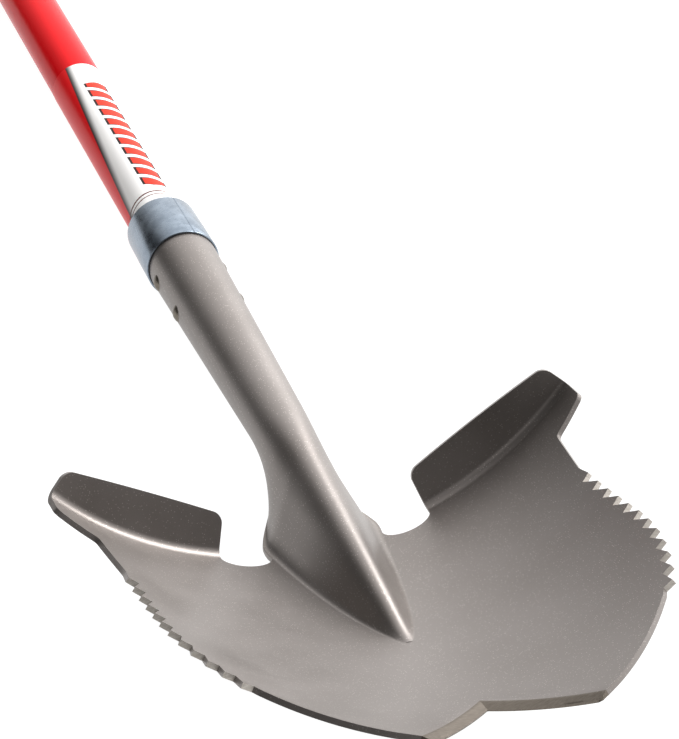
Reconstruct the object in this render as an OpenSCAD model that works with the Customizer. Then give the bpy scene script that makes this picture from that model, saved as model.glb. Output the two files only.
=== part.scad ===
// Long-handled detecting shovel with a saw-toothed, V-notched blade and a D-grip, lying on its back.
// +Y runs up the shaft to the grip, +X is to the right of someone facing the blade's hollow side, +Z is up.

/* [Blade] */
// Thickness of the blade's steel sheet
sheet_t = 2.8; // [2.2:0.1:3.6]
// Width across the tooth tips
blade_w = 234; // [195:1:290]
// Length from the fold of the treads to the two points
blade_len = 271.5; // [225:0.5:330]
// Radius of the dish across the blade
dish_r = 182.5; // [165:0.5:240]
// Radius of the bow along the blade
bow_r = 880; // [700:10:2000]
// Angle that the middle of the blade makes with the shaft
lift = 18.7; // [14:0.1:24]
// Height of the middle of the blade above the shaft's axis
blade_rise = 5.8; // [3:0.1:10]
// Distance between the two points
point_gap = 74; // [50:1:90]
// Flat end of each point
point_flat = 2; // [1:0.5:5]
// Depth of the V between the points
notch_depth = 39.5; // [20:0.5:50]
// Outward swell of the curved edge between the last tooth and the point
rim_swell = 3; // [1:0.5:5]

/* [Saw teeth] */
// Length of edge without teeth above each point
rim_run = 44; // [36:1:80]
// Distance from tooth to tooth along the edge
tooth_pitch = 12.4; // [10:0.1:13]
// Depth of a tooth
tooth_depth = 4.2; // [2:0.1:6]
// Length of a tooth's steep lower flank along the edge
tooth_undercut = 1.8; // [1:0.1:4]
// Distance from the fold of the treads to the first tooth
tooth_start = 76.5; // [60:0.5:90]
// Radius of the side edge below its straight stretch
side_r = 185; // [150:5:260]
// Length of the straight stretch of the toothed edge
side_straight = 58; // [30:1:80]

/* [Treads] */
// Distance between the inner ends of the two treads
tread_gap = 111; // [96:1:138]
// How far each ear stands out past the side of the blade
ear_reach = 19; // [8:0.5:24]
// Length of an ear's outer edge below the fold
ear_drop = 25; // [12:0.5:28]
// Slope of an ear's lower edge, in length along the blade
ear_slope = 5.5; // [4:0.5:12]
// Height of a tread at its inner end
tread_h_in = 19.5; // [16:0.5:28]
// Height of a tread at its outer end
tread_h_out = 14; // [8:0.5:18]
// Angle that a tread is folded forward
tread_fold = 72; // [60:1:90]
// Inside radius of the fold
tread_bend_r = 5.5; // [4:0.5:8]
// Radius of a tread's free corners
tread_corner_r = 5; // [2:0.5:8]
// Radius of an ear's corner
ear_corner_r = 3; // [1:0.5:5]

/* [Socket] */
// Distance from the ferrule's lower rim to the fold of the treads
neck_len = 249; // [210:1:305]
// Wall of the socket round the shaft
socket_wall = 3.45; // [2.8:0.05:4.5]
// Length of the socket below the ferrule's rim before it starts to narrow
socket_straight = 6; // [2:1:12]
// How much narrower the neck's waist is than the socket
waist_narrowing = 9.4; // [6:0.1:10]
// Distance from the waist to the fold of the treads
waist_gap = 62; // [50:1:80]
// Length of round tube between the shaft's end and where the neck is open at the back
tube_lap = 42; // [30:1:60]
// Wall of the neck below the shaft's end
neck_wall = 2.6; // [2:0.1:3.2]
// Half width of the frog where it runs on to the blade
frog_w = 31.5; // [26:0.5:36]
// Length of the frog below the fold of the treads
frog_len = 128; // [100:1:155]
// Share of its width that the frog loses on the way to its tip
frog_taper = 0.6; // [0.4:0.05:0.75]
// Power that sets how blunt the frog's tip is
frog_blunt = 6; // [4:1:8]
// Power that sets how sharp the frog's crest is
frog_crown = 1.35; // [1.1:0.05:2]
// Radius of the round end of each cut between a tread and the frog
throat_r = 13; // [6:0.5:16]
// Depth of each cut below the fold
throat_depth = 13.5; // [10:0.5:20]
// How far the welded edges of the frog and the blade overlap
weld_lap = 1; // [0.5:0.1:2]

/* [Ferrule and rivets] */
// Length of the ferrule
ferrule_len = 44; // [30:1:60]
// Wall of the ferrule
ferrule_wall = 1.2; // [0.8:0.1:2]
// How much smaller the ferrule's radius is at its top
ferrule_taper = 0.5; // [0:0.1:0.9]
// Thickness of the ferrule's turned-in top
ferrule_lip = 4; // [2:0.5:6]
// Diameter of a rivet's shank
rivet_d = 6; // [5:0.5:8]
// Diameter of a rivet's head
rivet_head_d = 10.5; // [9:0.5:14]
// Height of a rivet's head
rivet_head_h = 2.6; // [1.5:0.1:4]
// Distance from the ferrule's lower rim to the upper rivet
rivet_first = 14; // [10:1:20]
// Distance between the two rivets
rivet_gap = 35; // [25:1:45]
// How far a rivet's head is let into the round wall
rivet_inset = 0.9; // [0.6:0.1:1.2]

/* [Shaft] */
// Outside diameter of the resin jacket
shaft_d = 33; // [27.5:0.1:40]
// Wall of the resin jacket
jacket_wall = 3.5; // [2.5:0.1:5]
// Wall of the steel core tube
core_wall = 1.6; // [1.2:0.1:2.5]
// How far the shaft goes into the socket below the ferrule
shaft_seat = 76; // [65:1:90]
// Length of shaft between the ferrule's top and the grip's socket
shaft_free = 480; // [300:5:900]
// Length of the wooden plug at each end of the core
plug_len = 90; // [80:1:120]
// Length of the printed film round the shaft
label_len = 185; // [80:1:250]
// Distance from the ferrule to the printed film
label_gap = 2; // [0.5:0.5:10]
// Thickness of the printed film
label_t = 0.2; // [0.1:0.05:0.4]
// Part of the circle that the film goes round
label_wrap = 236; // [120:1:300]
// Clearance between a bore and what goes into it
fit_gap = 0.15; // [0.05:0.05:0.4]

/* [Grip] */
// Length of the grip's socket round the shaft
yoke_seat = 56; // [40:1:80]
// Wall of the grip's socket
yoke_wall = 3.5; // [2.5:0.1:5]
// Distance from the grip socket's lower rim to its first rivet
yoke_rivet_first = 16; // [10:1:20]
// Distance between the grip's two rivets
yoke_rivet_gap = 20; // [15:1:24]
// Solid web between the shaft's end and the D
yoke_web = 6; // [4:1:12]
// Radius of the D, to the middle of its arms
yoke_r = 50; // [44:1:70]
// Diameter of the D's arms
arm_d = 21; // [16:0.5:26]
// Length of the straight stretch of each arm
arm_len = 24; // [20:1:50]
// Wall of the bosses round the crossbar tube
boss_wall = 5.35; // [4:0.05:8]
// Wall of each boss between the crossbar tube and the bolt's washer
boss_web = 3.65; // [2:0.05:6]
// Wall of the soft sleeve
sleeve_wall = 10; // [8:0.5:12]
// Clearance between the sleeve's ends and the D's arms
sleeve_gap = 0.5; // [0.3:0.1:2]
// Plain length at each end of the sleeve
sleeve_margin = 7; // [4:0.5:12]
// Depth of the grooves in the sleeve
groove_depth = 1.2; // [0.5:0.1:2]
// Grooves in the sleeve
groove_count = 7; // [3:1:9]
// Outside diameter of the crossbar tube
bar_d = 18; // [15:0.1:22]
// Wall of the crossbar tube
bar_wall = 2; // [1.5:0.1:3]
// How far the crossbar tube goes into each boss
bar_seat = 6; // [3:0.5:8]
// Diameter of the crossbar's bolt
bolt_d = 8; // [6:0.5:10]
// Thickness of the bolt's head and of its nut
bolt_head_h = 5; // [3:0.5:6]
// Thickness of a washer
washer_t = 1.2; // [0.8:0.1:2]
// Clearance between the bolt's ends and the caps
cap_gap = 1; // [0.5:0.1:3]
// Thickness of a boss cap
cap_t = 2; // [1:0.1:3]

/* [Hidden] */
$fn = 64;

// The shaft frame has its zero on the axis at the ferrule's lower rim, with +Y up the shaft.
// The blade frame has its zero at the middle of the blade, with +Y up the blade and +Z out of the hollow.
fold_y = blade_len / 2;
blade_reach = neck_len + fold_y * cos(lift);
// The sheet leaves the dish for the fold a tangent length before the fold line.
fold_tangent = tread_bend_r * tan(tread_fold / 2);
fold_angle = asin((fold_y - fold_tangent) / bow_r);
half_w = blade_w / 2;
ear_x = half_w + ear_reach;
// The sheet is dished with this much to spare, and its outline is then cut.
spare = 12;
point_angle = -asin((fold_y + spare) / bow_r);
ear_theta = acos(ear_x / dish_r);
tread_theta = acos(tread_gap / 2 / dish_r);

// Height of the dish's hollow face over the blade frame's XY plane.
function dish_z(x, y) = bow_r - sqrt(pow(bow_r - dish_r + sqrt(dish_r * dish_r - x * x), 2) - y * y);
// A point of the blade frame in the shaft frame.
function to_shaft(p) = [p[0],
  p[1] * cos(lift) + p[2] * sin(lift) - blade_reach,
  p[2] * cos(lift) - p[1] * sin(lift) + blade_rise];
// Distance up the blade of a point of the shaft frame.
function along_blade(y, z) = (y + blade_reach) * cos(lift) - (z - blade_rise) * sin(lift);
function above_blade(y, z) = (y + blade_reach) * sin(lift) + (z - blade_rise) * cos(lift);
function ease(t) = let(c = min(1, max(0, t))) c * c * (3 - 2 * c);
function mix(a, b, t) = a + (b - a) * t;
// Points that round the corner at b between a and c with radius r.
function corner(a, b, c, r) = let(u = (a - b) / norm(a - b), v = (c - b) / norm(c - b),
  half = acos(u * v) / 2, centre = b + (u + v) / norm(u + v) * r / sin(half),
  p = b + u * r / tan(half) - centre, q = b + v * r / tan(half) - centre, span = 180 - 2 * half)
  [for (i = [0:6]) let(t = i / 6) centre + (p * sin((1 - t) * span) + q * sin(t * span)) / sin(span)];

// The toothed edge: straight, then an arc. Its distance is measured down the edge from the first tooth.
first_y = fold_y - tooth_start;
tooth_count = floor((blade_len - tooth_start - rim_run) / tooth_pitch);
function edge_turn(d) = max(0, d - side_straight) / side_r * 180 / PI;
function edge_point(d, inset) = let(a = edge_turn(d))
  [half_w - side_r + (side_r - inset) * cos(a),
   first_y - min(d, side_straight) - (side_r - inset) * sin(a)];
teeth = [for (i = [0:tooth_count - 1])
  each [edge_point(i * tooth_pitch, 0), edge_point(i * tooth_pitch + tooth_undercut, tooth_depth)]];
rim_top = edge_point((tooth_count - 0.5) * tooth_pitch, tooth_depth);
rim_end = [(point_gap + point_flat) / 2, -fold_y];
rim_span = norm(rim_end - rim_top);
rim_out = [rim_top[1] - rim_end[1], rim_end[0] - rim_top[0]] / rim_span;
rim = [for (i = [0:8]) let(t = i / 8) mix(rim_top, rim_end, t) + rim_out * rim_swell * 4 * t * (1 - t)];

// The frog's foot on the blade: nearly straight sides and a blunt rounded tip.
frog_tip_y = fold_y - frog_len;
frog_top_y = fold_y + throat_depth / 2;
function frog_t(y) = max(0, (frog_top_y - y) / (frog_top_y - frog_tip_y));
function frog_foot(y) = let(t = frog_t(y))
  frog_w * (1 - frog_taper * t) * sqrt(max(0, 1 - pow(t, frog_blunt)));
throat_w = tread_gap / 2 - frog_w;
round_r = min(throat_r, throat_w / 2);
round_y = fold_y - throat_depth + round_r;
// The slot under the frog stops a little short of the frog's tip, so that the blade closes it.
slot_share = 0.965;
slot_min = 0.8;
slot = [for (i = [0:14]) let(y = mix(frog_top_y, frog_tip_y, slot_share * (1 - i / 14)))
  [max(slot_min, frog_foot(y) - weld_lap), y]];
// The second quarter leaves out its first point where the first quarter ends on it.
flat_throat = throat_w > 2 * round_r + 0.01;
throat = concat(
  [for (a = [180:22.5:270]) [frog_w + round_r + round_r * cos(a), round_y + round_r * sin(a)]],
  [for (a = [flat_throat ? 270 : 292.5:22.5:360])
    [tread_gap / 2 - round_r + round_r * cos(a), round_y + round_r * sin(a)]]);

// Right half of the blade's outline, from the frog's tip round to the V. The plain edge between the
// first tooth and the ear leans out a little.
side_lean = 2.5;
ear_notch = [half_w + side_lean, fold_y - ear_drop - ear_slope];
side_end = [half_w - tooth_depth / 4, first_y + tooth_pitch * 0.8];
half_outline = concat(slot, throat,
  [[tread_gap / 2, fold_y + spare], [ear_x, fold_y + spare]],
  corner([ear_x, fold_y + spare], [ear_x, fold_y - ear_drop], ear_notch, ear_corner_r),
  corner([ear_x, fold_y - ear_drop], ear_notch, side_end, ear_corner_r), [side_end],
  teeth, rim, [[(point_gap - point_flat) / 2, -fold_y], [0, notch_depth - fold_y]]);

// Neck and frog: sections of a strip that is rolled into a tube and opens out on to the blade.
bore_d = shaft_d + 2 * fit_gap;
socket_d = bore_d + 2 * socket_wall;
waist_d = socket_d - waist_narrowing;
waist_y = neck_len - waist_gap;
tube_end = shaft_seat + tube_lap;
seam_angle = 177;
function neck_r(y) = mix(socket_d, waist_d, (-y - socket_straight) / (waist_y - socket_straight)) / 2;
tip_lift = 0.4;
crest_top = [along_blade(-waist_y, waist_d / 2), above_blade(-waist_y, waist_d / 2)];
crest_tip_z = dish_z(0, frog_tip_y) + tip_lift;
function crest_z(y) = mix(crest_tip_z, crest_top[1], (y - frog_tip_y) / (crest_top[0] - frog_tip_y));
// The neck's first rings lie this far inside the wall of the bored tube that they are joined to.
sink = 0.12;
sink_angle = 0.7;
sink_lap = 2;
function tube_point(y, u) = let(r = neck_r(y) - sink, a = u * (seam_angle - sink_angle))
  [r * sin(a), y, r * cos(a)];
tip_half_w = 3;
function frog_point(y, u) = let(x = max(tip_half_w, frog_foot(y)) * u, base = dish_z(x, y))
  to_shaft([x, y, base + (crest_z(y) - dish_z(0, y)) * pow(1 - u * u, frog_crown)]);
neck_end_y = mix(frog_top_y, frog_tip_y, 0.985);
neck_rings = 34;
neck_steps = 26;
function ring_y(k) = mix(sink_lap - tube_end, to_shaft([0, neck_end_y, dish_z(0, neck_end_y)])[1],
  k / neck_rings);
// The tube starts to open above the waist and is flat open just past the fold.
open_above = 18;
open_past = 6;
function opening(k) = ease((-ring_y(k) - waist_y + open_above) / (waist_gap + open_past));
function skin(k, u) = let(y = ring_y(k), yb = mix(along_blade(y, 0), along_blade(y, crest_tip_z), opening(k)))
  mix(tube_point(y, u), frog_point(max(neck_end_y, yb), u), opening(k));
// The wall's thickness turns to straight down where the frog gets narrower than this.
thin_from = 18;
thin_over = 14;
function inward(k, u) = let(d = skin(k, min(1, u + 0.02)) - skin(k, max(-1, u - 0.02)),
  n = [d[2], 0, -d[0]] / norm([d[2], 0, d[0]]),
  thin = ease((thin_from - frog_foot(along_blade(ring_y(k), 0))) / thin_over) * opening(k),
  m = mix(n, [0, 0, -1], thin))
  m / norm(m);
function ring(k) = concat(
  [for (i = [0:neck_steps]) let(u = 2 * i / neck_steps - 1) skin(k, u)],
  [for (i = [neck_steps:-1:0]) let(u = 2 * i / neck_steps - 1)
    skin(k, u) + inward(k, u) * (neck_wall - 2 * sink)]);

// Lengths along the shaft.
shaft_bottom = -shaft_seat;
ferrule_top = ferrule_len;
yoke_bottom = ferrule_top + shaft_free;
shaft_top = yoke_bottom + yoke_seat;
yoke_centre = shaft_top + yoke_web + arm_d / 2 + yoke_r;
bar_y = yoke_centre + arm_len;
socket_top = ferrule_top - ferrule_lip - fit_gap;
rivet_ys = [-rivet_first, -rivet_first - rivet_gap];
yoke_rivet_ys = [yoke_bottom + yoke_rivet_first, yoke_bottom + yoke_rivet_first + yoke_rivet_gap];
core_d = shaft_d - 2 * jacket_wall;
core_bore = core_d - 2 * core_wall;
yoke_d = shaft_d + 2 * yoke_wall;
// Each rivet's heads are let into the wall where the rivet is, which is narrower further down the neck.
function rivet_seat(y) = neck_r(y) - rivet_inset;
yoke_rivet_seat = yoke_d / 2 - rivet_inset;
dome_r = (pow(rivet_head_d / 2, 2) + pow(rivet_head_h, 2)) / (2 * rivet_head_h);

// Seats of the crossbar, outward from the middle.
boss_d = bar_d + 2 * fit_gap + 2 * boss_wall;
recess_depth = washer_t + bolt_head_h + cap_gap + cap_t;
boss_len = bar_seat + fit_gap + boss_web + recess_depth;
boss_in = yoke_r - boss_len / 2;
boss_out = yoke_r + boss_len / 2;
bar_half = boss_in + bar_seat;
nut_d = 1.8 * bolt_d;
washer_d = 2 * bolt_d;
recess_d = washer_d + 1;
recess_in = boss_out - recess_depth;
sleeve_d = bar_d + 2 * sleeve_wall;
sleeve_half = min(boss_in, yoke_r - arm_d / 2) - sleeve_gap;

// The shovel rests on the lowest places of the neck's open edges, or on the belly of the blade where that
// is lower, and on the sleeve of the grip, or on the grip's socket where that is lower.
function tilted(p, a) = [p[0], p[1] * cos(a) - p[2] * sin(a), p[1] * sin(a) + p[2] * cos(a)];
function lowest(points, a) = let(z = [for (p = points) tilted(p, a)[2]]) points[search(min(z), z)[0]];
function slope_to(p) = max(atan((p[2] + sleeve_d / 2) / (bar_y - p[1])),
  atan((p[2] + yoke_d / 2) / (yoke_bottom - p[1])), atan((p[2] + yoke_d / 2) / (shaft_top - p[1])));
neck_points = [for (k = [0:neck_rings]) each ring(k)];
belly = [for (y = [notch_depth - fold_y:4:frog_tip_y])
  to_shaft([0, y, bow_r - sqrt(pow(bow_r + sheet_t, 2) - y * y)])];
under_points = concat(neck_points, belly);
heel = lowest(under_points, slope_to(lowest(under_points, 0)));
rest_slope = slope_to(heel);
point = to_shaft([point_gap / 2, -fold_y, dish_z(point_gap / 2, -fold_y) - sheet_t]);
low_y = tilted(point, rest_slope)[1];
high_y = tilted([0, bar_y, 0], rest_slope)[1] + sleeve_d / 2;
drop_z = tilted(heel, rest_slope)[2];

module placed() {
  translate([0, -(low_y + high_y) / 2, -drop_z]) rotate([rest_slope, 0, 0]) children();
}

// Turns a shape of revolution about Z on to the shaft's axis.
module on_shaft() {
  rotate([-90, 0, 0]) children();
}

// A round bar of one diameter along the shaft from y0 to y1.
module bar(d, y0, y1) {
  translate([0, y0, 0]) on_shaft() cylinder(d = d, h = y1 - y0);
}

// A round bar of one diameter along X from x0 to x1.
module cross_bar(d, x0, x1) {
  translate([x0, 0, 0]) rotate([0, 90, 0]) cylinder(d = d, h = x1 - x0);
}

module cross_holes(ys, d, half) {
  for (y = ys) translate([0, y, 0]) cross_bar(d, -half, half);
}

// Flat-bottomed recess that a rivet's head sits in, on one side of a round wall.
module rivet_recess(y, seat, side) {
  translate([side * (seat + rivet_head_h), y, 0])
    cross_bar(rivet_head_d + 2 * fit_gap, -rivet_head_h, rivet_head_h);
}

// A rivet's shank and its two low domed heads.
module rivet_body(seat) {
  cross_bar(rivet_d, -seat - 1, seat + 1);
  for (side = [-1, 1]) rotate([0, side * 90, 0]) translate([0, 0, seat])
    rotate_extrude() intersection() {
      translate([0, rivet_head_h - dome_r]) circle(r = dome_r, $fn = 96);
      square([rivet_head_d / 2, rivet_head_h]);
    }
}

module blade_placed() {
  translate([0, -blade_reach, blade_rise]) rotate([-lift, 0, 0]) children();
}

// The dished sheet before its edges are cut.
module dished_sheet() {
  translate([0, 0, bow_r]) rotate([0, 90, 0]) rotate([0, 0, point_angle])
    rotate_extrude(angle = fold_angle - point_angle, $fn = 128) intersection() {
      translate([bow_r - dish_r, 0]) difference() {
        circle(r = dish_r + sheet_t, $fn = 128);
        circle(r = dish_r, $fn = 128);
      }
      translate([bow_r - dish_r, -ear_x - 1]) square([dish_r + 2 * sheet_t, 2 * ear_x + 2]);
    }
}

module blade_outline() {
  polygon(concat(half_outline,
    [for (i = [len(half_outline) - 2:-1:0]) [-half_outline[i][0], half_outline[i][1]]]));
}

// Profile of the fold and the tread, as radius from the dish's axis and distance up the blade. A tab of
// it reaches down inside the sheet.
module tread_profile() {
  fold = [for (i = [0:12]) let(a = i * tread_fold / 12) [cos(a), sin(a)]];
  along = [-sin(tread_fold), cos(tread_fold)] * tread_h_in * 1.5;
  end = fold[12];
  tab = sheet_t / 4;
  tab_len = 3;
  translate([dish_r - tread_bend_r, 0]) polygon(concat(
    [for (v = fold) v * (tread_bend_r + sheet_t)],
    [end * (tread_bend_r + sheet_t) + along, end * tread_bend_r + along],
    [for (i = [12:-1:0]) fold[i] * tread_bend_r],
    [[tread_bend_r + tab, 0], [tread_bend_r + tab, -tab_len], [tread_bend_r + sheet_t - tab, -tab_len],
     [tread_bend_r + sheet_t - tab, 0]]));
}

// Outline of a tread seen along the blade: radial ends, a slanting free edge and rounded corners.
module tread_outline() {
  far = dish_r + spare;
  inner_dir = [cos(tread_theta), sin(tread_theta)];
  outer_dir = [cos(ear_theta), sin(ear_theta)];
  inner_top = inner_dir * (dish_r - tread_h_in);
  outer_top = outer_dir * (dish_r - tread_h_out);
  polygon(concat([inner_dir * far], corner(inner_dir * far, inner_top, outer_top, tread_corner_r),
    corner(inner_top, outer_top, outer_dir * far, tread_corner_r), [outer_dir * far, [far, far]]));
}

// One rolled tread.
module tread() {
  translate([0, 0, bow_r]) rotate([fold_angle, 0, 0]) translate([0, 0, dish_r - bow_r]) rotate([-90, 0, 0])
    intersection() {
      rotate([0, 0, ear_theta]) rotate_extrude(angle = tread_theta - ear_theta, $fn = 128) tread_profile();
      translate([0, 0, -spare]) linear_extrude(2 * tread_h_in + spare) tread_outline();
    }
}

module blade() {
  color("#8f8780") placed() blade_placed() {
    intersection() {
      dished_sheet();
      translate([0, 0, -spare]) linear_extrude(dish_r + spare) blade_outline();
    }
    tread();
    mirror([1, 0, 0]) tread();
  }
}

// Upper socket: a tapered tube bored for the shaft, with an open seam at the back.
module socket_tube() {
  wall_r = neck_r(-tube_end) - neck_wall;
  on_shaft() rotate([0, 0, 90 + 180 - seam_angle]) rotate_extrude(angle = 2 * seam_angle) polygon([
    [bore_d / 2, socket_top], [socket_d / 2, socket_top], [socket_d / 2, -socket_straight],
    [neck_r(-tube_end), -tube_end], [wall_r, -tube_end],
    [neck_r(shaft_bottom - 2) - neck_wall, shaft_bottom - 2], [bore_d / 2, shaft_bottom - fit_gap]]);
}

module neck_and_frog() {
  n = 2 * (neck_steps + 1);
  sides = [for (k = [0:neck_rings - 1], i = [0:n - 1]) let(j = (i + 1) % n)
    each [[k * n + i, (k + 1) * n + j, (k + 1) * n + i], [k * n + i, k * n + j, (k + 1) * n + j]]];
  function cap(k, i) = [k * n + i, k * n + i + 1, k * n + n - 2 - i, k * n + n - 1 - i];
  ends = [for (i = [0:neck_steps - 1]) each [
    [cap(0, i)[0], cap(0, i)[2], cap(0, i)[1]], [cap(0, i)[0], cap(0, i)[3], cap(0, i)[2]],
    [cap(neck_rings, i)[0], cap(neck_rings, i)[1], cap(neck_rings, i)[2]],
    [cap(neck_rings, i)[0], cap(neck_rings, i)[2], cap(neck_rings, i)[3]]]];
  polyhedron(points = neck_points, faces = concat(sides, ends), convexity = 6);
}

module socket() {
  color("#8a8178") placed() {
    difference() {
      socket_tube();
      cross_holes(rivet_ys, rivet_d + 2 * fit_gap, socket_d);
      for (y = rivet_ys, side = [-1, 1]) rivet_recess(y, rivet_seat(y), side);
    }
    neck_and_frog();
  }
}

// Rolled steel band over the top of the socket, closed down on to the shaft at its upper end.
module ferrule() {
  inner = socket_d / 2 + fit_gap;
  color("#aab0b8") placed() on_shaft() rotate_extrude() polygon([
    [inner, 0], [inner + ferrule_wall, 0], [inner + ferrule_wall - ferrule_taper, ferrule_top - 1],
    [inner + ferrule_wall - ferrule_taper - 1, ferrule_top], [bore_d / 2, ferrule_top],
    [bore_d / 2, ferrule_top - ferrule_lip], [inner, ferrule_top - ferrule_lip]]);
}

// A through-rivet across the socket.
module rivet(y) {
  color("#77716b") placed() translate([0, y, 0]) rivet_body(rivet_seat(y));
}

module rivet_upper() {
  rivet(rivet_ys[0]);
}

module rivet_lower() {
  rivet(rivet_ys[1]);
}

// Red resin drawn round the steel core.
module shaft_jacket() {
  color("#d2101c") placed() difference() {
    bar(shaft_d, shaft_bottom, shaft_top);
    bar(core_d, shaft_bottom - 1, shaft_top + 1);
    cross_holes(rivet_ys, rivet_d + 2 * fit_gap, shaft_d);
    cross_holes(yoke_rivet_ys, rivet_d + 2 * fit_gap, shaft_d);
  }
}

module shaft_core() {
  color("#5d6266") placed() difference() {
    bar(core_d, shaft_bottom, shaft_top);
    bar(core_bore, shaft_bottom - 1, shaft_top + 1);
    cross_holes(rivet_ys, rivet_d + 2 * fit_gap, shaft_d);
    cross_holes(yoke_rivet_ys, rivet_d + 2 * fit_gap, shaft_d);
  }
}

// A wooden plug that keeps the core from crushing where rivets pull on it.
module plug(y0, y1, ys) {
  color("#c49a62") placed() difference() {
    bar(core_bore - 2 * fit_gap, y0, y1);
    cross_holes(ys, rivet_d + 2 * fit_gap, shaft_d);
  }
}

module lower_plug() {
  plug(shaft_bottom, shaft_bottom + plug_len, rivet_ys);
}

module upper_plug() {
  plug(shaft_top - plug_len, shaft_top, yoke_rivet_ys);
}

// Printed film wrapped round the front of the shaft.
module label() {
  y0 = ferrule_top + label_gap;
  color("#eceae6") placed() translate([0, y0, 0]) on_shaft() rotate([0, 0, -90 - label_wrap / 2])
    rotate_extrude(angle = label_wrap) translate([shaft_d / 2, 0]) square([label_t, label_len]);
}

// Moulded nylon grip body: a socket round the shaft's end, a D of two arms, and a boss on each arm.
module grip_yoke() {
  stem_top = yoke_seat + yoke_web + arm_d * 0.7;
  color("#26282b") placed() difference() {
    union() {
      translate([0, yoke_bottom, 0]) on_shaft() rotate_extrude() polygon([[0, 0], [yoke_d / 2 - 2, 0],
        [yoke_d / 2, 3], [yoke_d / 2, yoke_seat + 1], [arm_d / 2, stem_top], [0, stem_top]]);
      translate([0, yoke_centre, 0]) rotate([0, 0, 180]) rotate_extrude(angle = 180, $fn = 96)
        translate([yoke_r, 0]) circle(d = arm_d);
      for (side = [-1, 1]) {
        translate([side * yoke_r, 0, 0]) bar(arm_d, yoke_centre, bar_y);
        translate([side * yoke_r, bar_y, 0]) cross_bar(boss_d, -boss_len / 2, boss_len / 2);
      }
    }
    bar(bore_d, yoke_bottom - 1, shaft_top + fit_gap);
    cross_holes(yoke_rivet_ys, rivet_d + 2 * fit_gap, yoke_d);
    for (side = [-1, 1]) {
      for (y = yoke_rivet_ys) rivet_recess(y, yoke_rivet_seat, side);
      translate([side * yoke_r, bar_y, 0]) cross_bar(bolt_d + 2 * fit_gap, -boss_len, boss_len);
    }
    translate([0, bar_y, 0]) {
      cross_bar(bar_d + 2 * fit_gap, -bar_half - fit_gap, bar_half + fit_gap);
      cross_bar(recess_d, recess_in, boss_out + 1);
      cross_bar(recess_d, -boss_out - 1, -recess_in);
    }
  }
}

module yoke_rivets() {
  color("#9a9a98") placed() for (y = yoke_rivet_ys) translate([0, y, 0]) rivet_body(yoke_rivet_seat);
}

module crossbar_tube() {
  color("#b4b6b8") placed() translate([0, bar_y, 0]) difference() {
    cross_bar(bar_d, -bar_half, bar_half);
    cross_bar(bar_d - 2 * bar_wall, -bar_half - 1, bar_half + 1);
  }
}

// Soft sleeve that the hand closes on, with round grooves.
module grip_sleeve() {
  pitch = 2 * (sleeve_half - sleeve_margin) / groove_count;
  color("#1d1e20") placed() translate([0, bar_y, 0]) difference() {
    cross_bar(sleeve_d, -sleeve_half, sleeve_half);
    cross_bar(bar_d, -sleeve_half - 1, sleeve_half + 1);
    for (i = [0:groove_count - 1]) translate([(i - (groove_count - 1) / 2) * pitch, 0, 0]) rotate([0, 90, 0])
      rotate_extrude() translate([sleeve_d / 2 + 1, 0]) circle(r = groove_depth + 1, $fn = 32);
  }
}

module crossbar_bolt() {
  color("#b8babc") placed() translate([0, bar_y, 0]) {
    cross_bar(bolt_d, -recess_in - washer_t - bolt_head_h / 2, recess_in + washer_t + bolt_head_h);
    translate([-recess_in - washer_t - bolt_head_h, 0, 0]) rotate([0, 90, 0])
      cylinder(d = nut_d, h = bolt_head_h, $fn = 6);
  }
}

module crossbar_nut() {
  color("#b8babc") placed() translate([recess_in + washer_t, bar_y, 0]) rotate([0, 90, 0]) difference() {
    cylinder(d = nut_d, h = bolt_head_h, $fn = 6);
    translate([0, 0, -1]) cylinder(d = bolt_d, h = bolt_head_h + 2);
  }
}

module washer(x) {
  color("#c2c4c6") placed() translate([x, bar_y, 0]) difference() {
    cross_bar(washer_d, 0, washer_t);
    cross_bar(bolt_d + 2 * fit_gap, -1, washer_t + 1);
  }
}

module washer_left() {
  washer(-recess_in - washer_t);
}

module washer_right() {
  washer(recess_in);
}

// A snap-in cap that closes a boss.
module cap(side) {
  color("#1b1c1e") placed() translate([side * (boss_out - cap_t / 2), bar_y, 0])
    cross_bar(recess_d, -cap_t / 2, cap_t / 2);
}

module cap_left() {
  cap(-1);
}

module cap_right() {
  cap(1);
}

blade();
socket();
ferrule();
rivet_upper();
rivet_lower();
shaft_jacket();
shaft_core();
lower_plug();
upper_plug();
label();
grip_yoke();
yoke_rivets();
crossbar_tube();
grip_sleeve();
crossbar_bolt();
crossbar_nut();
washer_left();
washer_right();
cap_left();
cap_right();
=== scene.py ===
import math

import bmesh
import bpy
import numpy as np
from mathutils import Matrix


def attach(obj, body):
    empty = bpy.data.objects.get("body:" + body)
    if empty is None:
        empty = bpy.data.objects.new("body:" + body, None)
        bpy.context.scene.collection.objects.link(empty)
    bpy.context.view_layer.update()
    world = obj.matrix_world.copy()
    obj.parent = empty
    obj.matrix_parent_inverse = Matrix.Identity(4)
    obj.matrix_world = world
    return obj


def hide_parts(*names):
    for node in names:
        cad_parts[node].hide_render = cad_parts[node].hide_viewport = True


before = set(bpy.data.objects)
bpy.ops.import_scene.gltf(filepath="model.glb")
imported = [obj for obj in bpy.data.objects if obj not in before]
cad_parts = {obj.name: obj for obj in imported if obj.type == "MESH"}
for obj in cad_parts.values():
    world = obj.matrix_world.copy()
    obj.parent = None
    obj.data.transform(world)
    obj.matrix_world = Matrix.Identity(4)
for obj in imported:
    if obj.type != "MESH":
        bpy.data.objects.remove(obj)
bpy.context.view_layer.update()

# ---------------------------------------------------------------------------------------------
# Blade: one pressed sheet of boron steel, 2.8 mm thick, dished across and bowed along. Its saw teeth
# and V are cut and ground after pressing, its treads are rolled forward, and it is powder coated.
# ---------------------------------------------------------------------------------------------
# Sizes are in millimetres and degrees; the row frame is in metres.
SHEET = 2.8
HALF_W = 117.0
FOLD_Y = 135.75
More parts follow.
